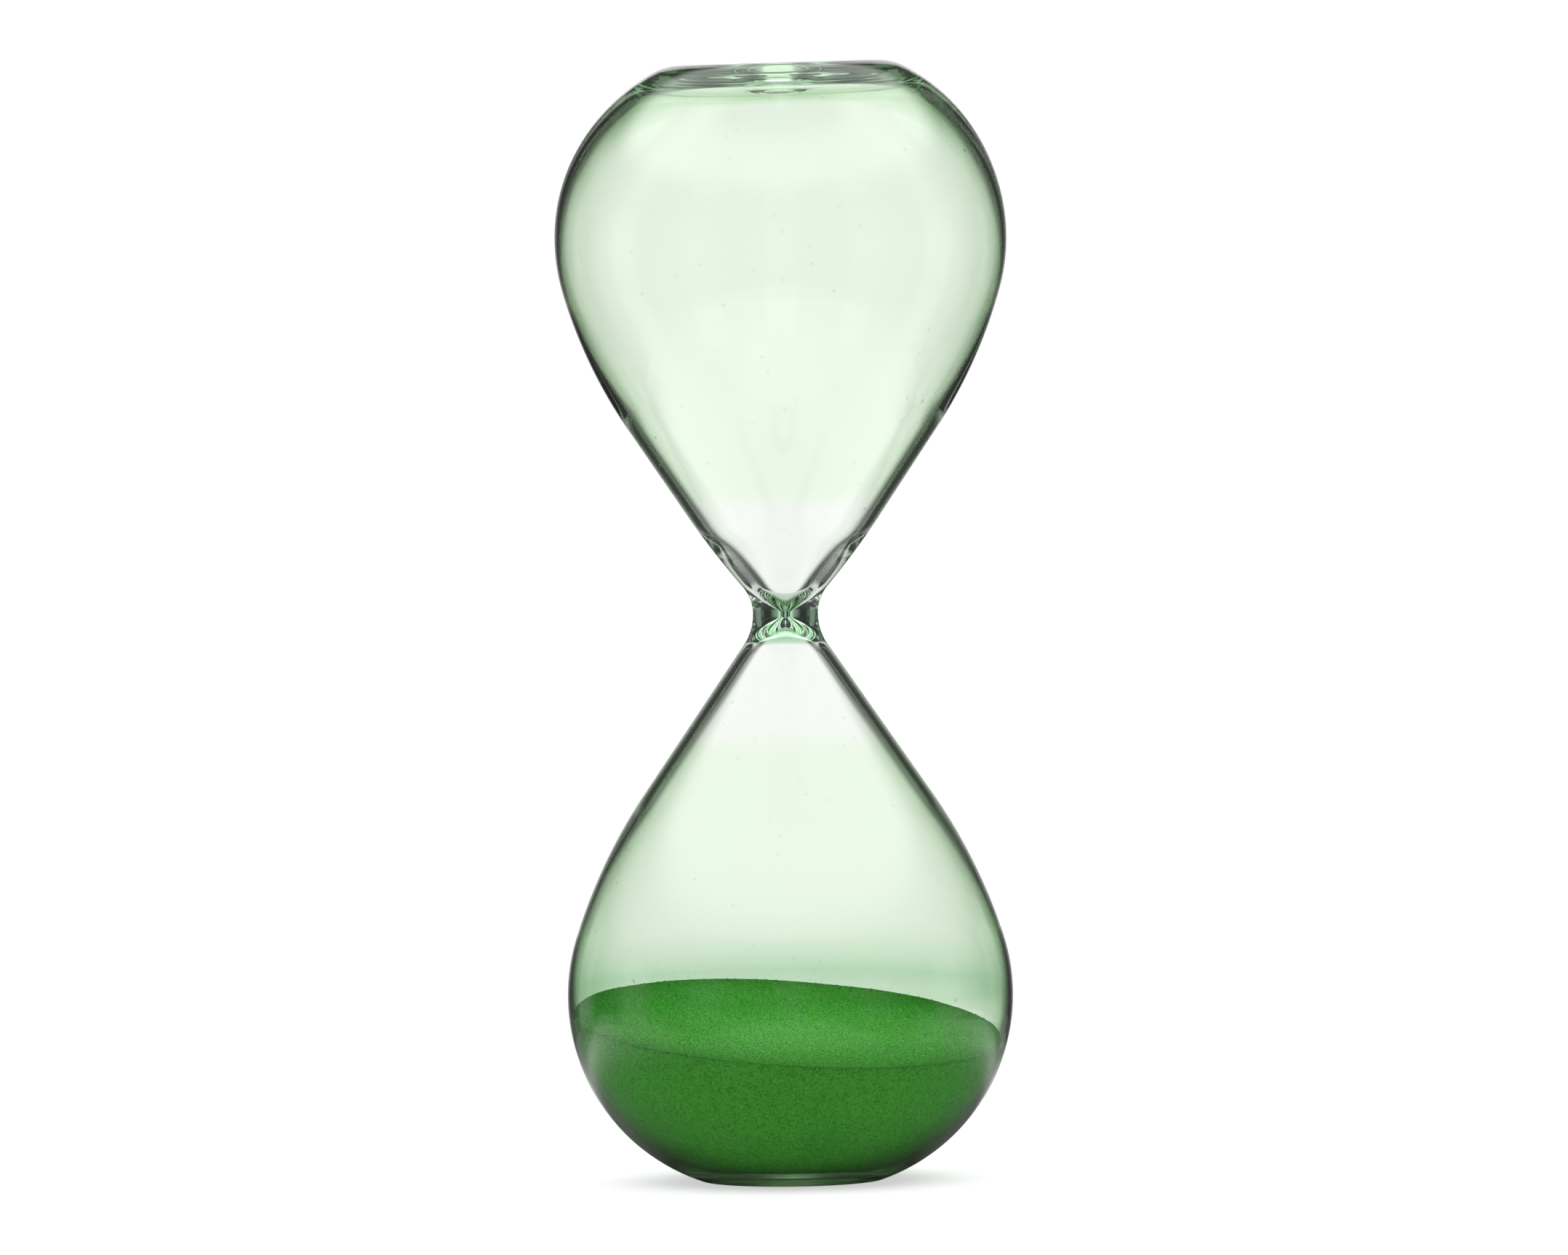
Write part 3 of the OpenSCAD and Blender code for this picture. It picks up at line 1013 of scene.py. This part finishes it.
class SandBed:
    """Shape of the settled charge: where its side runs and how high its surface lies."""

    def __init__(self, scene):
        self.sand = scene.hourglass_sand
        lower, _ = halves(scene)
        line = lower.raised(reversed(lower.bulb_inside(self.sand.gap)))
        self.line = tidy_line([(0.0, line[0][1])] + list(line), SIDE_STEP)

    def surface(self, x, y, slump=1.0):
        """Height of the surface above a place on the floor."""
        sand = self.sand
        plane = sand.level - x * math.tan(sand.slope_across) + y * math.tan(sand.slope_forward)
        soft = noise(Vector((x * 55, y * 90, 3.0))) * 0.7 + noise(Vector((x * 190, y * 190, 9.0))) * 0.3
        return plane + sand.slump * soft * slump

    def rim(self, turn):
        """Index in the side's line, as a decimal, at which the surface meets the glass."""
        for i in range(1, len(self.line)):
            r0, h0 = self.line[i - 1]
            r1, h1 = self.line[i]
            low = h0 - self.surface(r0 * math.cos(turn), r0 * math.sin(turn), RIM_SLUMP)
            high = h1 - self.surface(r1 * math.cos(turn), r1 * math.sin(turn), RIM_SLUMP)
            if high >= 0 > low:
                return i - 1 + low / (low - high)
        raise RuntimeError("the sand's surface never meets the glass")

    def side(self, place):
        """Radius and height at a decimal index in the side's line."""
        i = min(int(place), len(self.line) - 2)
        share = place - i
        (r0, h0), (r1, h1) = self.line[i], self.line[i + 1]
        return r0 + (r1 - r0) * share, h0 + (h1 - h0) * share


def bed_mesh(bed, columns, side_rings, top_rings):
    """Closed mesh of the charge, and the number of its side faces, which come before the top's."""
    turns = [math.tau * k / columns for k in range(columns)]
    rims = [bed.rim(t) for t in turns]
    points = [(0.0, 0.0, bed.line[0][1])]
    for i in range(1, side_rings + 1):
        for turn, rim in zip(turns, rims):
            r, h = bed.side(rim * i / side_rings)
            points.append((r * math.cos(turn), r * math.sin(turn), h))
    edge = points[-columns:]
    for j in range(1, top_rings):
        share = 1 - j / top_rings
        for x, y, _ in edge:
            slump = RIM_SLUMP + (1 - RIM_SLUMP) * min(1.0, 4 * (1 - share))
            points.append((x * share, y * share, bed.surface(x * share, y * share, slump)))
    points.append((0.0, 0.0, bed.surface(0.0, 0.0)))
    rings = side_rings + top_rings - 1
    faces = [(0, 1 + (k + 1) % columns, 1 + k) for k in range(columns)]
    for i in range(rings - 1):
        a = 1 + i * columns
        b = a + columns
        faces += [(a + k, a + (k + 1) % columns, b + (k + 1) % columns, b + k) for k in range(columns)]
    a = 1 + (rings - 1) * columns
    last = len(points) - 1
    faces += [(a + k, a + (k + 1) % columns, last) for k in range(columns)]
    mesh = bpy.data.meshes.new("sand_bed")
    mesh.from_pydata(points, [], faces)
    mesh.polygons.foreach_set("use_smooth", [True] * len(faces))
    side_faces = columns * side_rings
    return mesh, side_faces


def part_of(mesh, keep):
    """Copy of the faces that keep chooses, with full density at each point."""
    chosen = [f for f in mesh.polygons if keep(f)]
    used = sorted({i for f in chosen for i in f.vertices})
    renamed = {old: new for new, old in enumerate(used)}
    points = [mesh.vertices[i].co.copy() for i in used]
    part = bpy.data.meshes.new("part")
    part.from_pydata(points, [], [[renamed[i] for i in f.vertices] for f in chosen])
    values = part.attributes.new("fade", "FLOAT", "POINT")
    values.data.foreach_set("value", [1.0] * len(points))
    part.update()
    return part


class HOURGLASS_OT_sand(bpy.types.Operator):
    """Builds the settled charge of sand."""

    bl_idname = "hourglass.sand"
    bl_label = "Sand"

    def execute(self, context):
        scene = context.scene
        mesh, _ = bed_mesh(SandBed(scene), scene.hourglass_sand.columns, 60, 70)
        mesh.materials.append(sand_material(scene, grain_group(), "dyed_sand", False))
        piece = add_piece("sand_charge", mesh)
        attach(piece, "root")
        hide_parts("sand")
        return {"FINISHED"}


class HOURGLASS_OT_grains(bpy.types.Operator):
    """Scatters loose grains on the sand's surface, along its side and on the wall above its rim."""

    bl_idname = "hourglass.grains"
    bl_label = "Loose grains"

    def execute(self, context):
        scene = context.scene
        sand = scene.hourglass_sand
        bed = SandBed(scene)
        mesh, side_faces = bed_mesh(bed, 120, 24, 24)
        area = sum(f.area for f in mesh.polygons[:side_faces])
        top_area = sum(f.area for f in mesh.polygons[side_faces:])
        top = part_of(mesh, lambda f: f.index >= side_faces)
        side = part_of(mesh, lambda f: f.index < side_faces)
        wall = wall_band(scene, bed)
        scatter = scatter_tree()
        material = sand_material(scene, bpy.data.node_groups["Packed Grains"], "loose_grains", True)
        layers = (
            ("surface_grains", top, sand.top_grains / top_area, 1.0, 0.2, 21),
            ("side_grains", side, sand.side_grains / area, 0.8, -0.95, 22),
            ("wall_grains", wall, sand.wall_grains / BAND_AREA, 0.5, -0.6, 23),
        )
        for name, surface, density, share, lift, seed in layers:
            grains = made_by_nodes(
                surface,
                scatter,
                {
                    "Density": density,
                    "Grain Radius": sand.grain_size * share,
                    "Lift": sand.grain_size * lift,
                    "Seed": seed,
                    "Material": material,
                },
            )
            piece = add_piece(name, grains)
            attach(piece, "root")
        return {"FINISHED"}


def wall_band(scene, bed):
    """Strip of the inner wall just above the sand's rim, fading upwards, normals outwards."""
    columns = 120
    rings = 12
    points = []
    fades = []
    for i in range(rings + 1):
        for k in range(columns):
            turn = math.tau * k / columns
            steps = BAND_HEIGHT / SIDE_STEP * i / rings
            r, h = bed.side(bed.rim(turn) + steps)
            points.append((r * math.cos(turn), r * math.sin(turn), h))
            fades.append(math.exp(-5 * i / rings))
    faces = []
    for i in range(rings):
        a = i * columns
        b = a + columns
        faces += [(a + k, a + (k + 1) % columns, b + (k + 1) % columns, b + k) for k in range(columns)]
    mesh = bpy.data.meshes.new("wall_band")
    mesh.from_pydata(points, [], faces)
    values = mesh.attributes.new("fade", "FLOAT", "POINT")
    values.data.foreach_set("value", fades)
    return mesh


# Gap between the foot and the floor
FLOOR_DROP = 0.1 * MM


class HOURGLASS_OT_stage(bpy.types.Operator):
    """Builds the pale floor, the studio light and the camera."""

    bl_idname = "hourglass.stage"
    bl_label = "Stage"

    def execute(self, context):
        scene = context.scene
        stage = scene.hourglass_stage
        columns = 64
        turns = [math.tau * k / columns for k in range(columns)]
        points = [(0.0, 0.0, -FLOOR_DROP)]
        for r in (stage.floor_radius / 2, stage.floor_radius):
            points += [(r * math.cos(t), r * math.sin(t), -FLOOR_DROP) for t in turns]
        faces = [(0, 1 + k, 1 + (k + 1) % columns) for k in range(columns)]
        faces += [
            (1 + k, 1 + columns + k, 1 + columns + (k + 1) % columns, 1 + (k + 1) % columns)
            for k in range(columns)
        ]
        mesh = bpy.data.meshes.new("floor")
        mesh.from_pydata(points, [], faces)
        mesh.materials.append(floor_material())
        floor = bpy.data.objects.new("floor", mesh)
        scene.collection.objects.link(floor)
        light_world(scene)
        place_camera(scene)
        scene.view_settings.view_transform = "Standard"
        scene.cycles.max_bounces = 40
        scene.cycles.glossy_bounces = 32
        scene.cycles.transmission_bounces = 40
        return {"FINISHED"}


# Elevations between which the lights fade: the spill beside a panel, the panels, the softboxes
# overhead, and the darker zenith
SPILL_FADE = (math.radians(9), math.radians(3))
PANEL_FADE = (math.radians(16), math.radians(10))
SOFTBOX_FADE = (math.radians(30), math.radians(42))
ZENITH_FADE = (math.radians(62), math.radians(74))


def light_world(scene):
    """A ring of lit panels with dark gaps, softboxes overhead, and plain white behind it all."""
    stage = scene.hourglass_stage
    world = bpy.data.worlds.new("studio")
    world.use_nodes = True
    world.node_tree.nodes.clear()
    tree = Tree(world.node_tree)
    way = tree.add("ShaderNodeTexCoord").outputs["Generated"]
    x, y, z = tree.add("ShaderNodeSeparateXYZ", {0: way}).outputs
    compass = tree.math("ARCTAN2", y, x)
    eighth = math.radians(22.5)
    off_panel = tree.math("ABSOLUTE", tree.math("WRAP", compass, eighth, -eighth))
    half = stage.panel_half_width
    soft = math.radians(2.5)
    core = tree.smooth(off_panel, half + soft, half - soft)
    rise = tree.math("ARCSINE", z)
    halo = tree.math(
        "MULTIPLY",
        tree.smooth(off_panel, half * 2.2, half, 0.0, stage.halo_share),
        tree.smooth(tree.math("ABSOLUTE", rise), *SPILL_FADE),
    )
    panel = tree.math("MAXIMUM", core, halo)
    low = tree.smooth(rise, *PANEL_FADE)
    high = tree.smooth(rise, *SOFTBOX_FADE)
    diagonal = tree.times(tree.math("ABSOLUTE", x), tree.math("ABSOLUTE", y))
    side_share = tree.smooth(diagonal, 0.3, 0.4, 1.0, stage.diagonal_share)
    lens_share = tree.smooth(y, -0.8, -0.95, 1.0, stage.lens_share)
    flank_share = tree.smooth(tree.math("ABSOLUTE", x), 0.85, 0.95, 1.0, stage.flank_share)
    share = tree.times(tree.times(side_share, lens_share), flank_share)
    off_back = tree.math("ABSOLUTE", tree.math("ARCTAN2", x, y))
    behind = tree.smooth(off_back, half + soft, half - soft)
    sweep = tree.times(tree.smooth(y, 0.0, 0.1), behind)
    low = tree.math("MAXIMUM", low, sweep)
    panels = tree.times(share, stage.backdrop_light)
    lit = tree.times(tree.times(panel, low), panels)
    zenith = tree.smooth(rise, *ZENITH_FADE, 1.0, stage.zenith_share)
    over = tree.times(tree.times(high, zenith), stage.overhead_light)
    studio = tree.plus(tree.plus(lit, over), stage.dark_light)
    seen = tree.add("ShaderNodeLightPath").outputs["Is Camera Ray"]
    strength = tree.add("ShaderNodeMix", data_type="FLOAT")
    tree.link(seen, strength.inputs[0])
    tree.link(studio, strength.inputs[2])
    strength.inputs[3].default_value = 1.05
    background = tree.add("ShaderNodeBackground", {"Color": (1, 1, 1, 1), "Strength": strength.outputs[0]})
    output = tree.add("ShaderNodeOutputWorld")
    tree.link(background.outputs[0], output.inputs["Surface"])
    scene.world = world


def place_camera(scene):
    """A long lens, level with the top end, aimed at the middle of the glass."""
    stage = scene.hourglass_stage
    data = bpy.data.cameras.new("camera")
    camera = bpy.data.objects.new("camera", data)
    scene.collection.objects.link(camera)
    scene.camera = camera
    data.sensor_width = 36
    target = Vector((stage.camera_aside, 0.0, HEIGHT * 0.495))
    camera.location = (stage.camera_aside, -stage.camera_distance, stage.camera_height)
    view = target - camera.location
    data.lens = data.sensor_width * view.length / stage.frame_width
    data.clip_end = 50
    camera.rotation_mode = "QUATERNION"
    camera.rotation_quaternion = view.to_track_quat("-Z", "Y")
    camera.rotation_quaternion.rotate(Quaternion(view.normalized(), stage.camera_roll))


# Panel and registration


class HOURGLASS_PT_panel(bpy.types.Panel):
    """Lists what the hourglass is built of."""

    bl_label = "Hourglass"
    bl_idname = "HOURGLASS_PT_panel"
    bl_space_type = "VIEW_3D"
    bl_region_type = "UI"
    bl_category = "Hourglass"

    def draw(self, context):
        scene = context.scene
        for operator in BUILDERS:
            self.layout.operator(operator.bl_idname)
        for name in SETTINGS:
            box = self.layout.box()
            for key in getattr(scene, name).bl_rna.properties.keys()[2:]:
                box.prop(getattr(scene, name), key)


BUILDERS = (HOURGLASS_OT_glass, HOURGLASS_OT_sand, HOURGLASS_OT_grains, HOURGLASS_OT_stage)
SETTINGS = {
    "hourglass_lower": LowerHalf,
    "hourglass_upper": UpperHalf,
    "hourglass_glass": GlassSettings,
    "hourglass_sand": SandSettings,
    "hourglass_stage": StageSettings,
}


def register():
    """Registers the settings, the operators and the panel."""
    for name, group in SETTINGS.items():
        bpy.utils.register_class(group)
        setattr(bpy.types.Scene, name, bpy.props.PointerProperty(type=group))
    for operator in BUILDERS:
        bpy.utils.register_class(operator)
    bpy.utils.register_class(HOURGLASS_PT_panel)


def unregister():
    """Takes everything away again."""
    bpy.utils.unregister_class(HOURGLASS_PT_panel)
    for operator in reversed(BUILDERS):
        bpy.utils.unregister_class(operator)
    for name, group in SETTINGS.items():
        delattr(bpy.types.Scene, name)
        bpy.utils.unregister_class(group)


def main():
    """Builds the hourglass."""
    register()
    bpy.ops.hourglass.glass()
    bpy.ops.hourglass.sand()
    bpy.ops.hourglass.grains()
    bpy.ops.hourglass.stage()


if __name__ == "__main__":
    main()
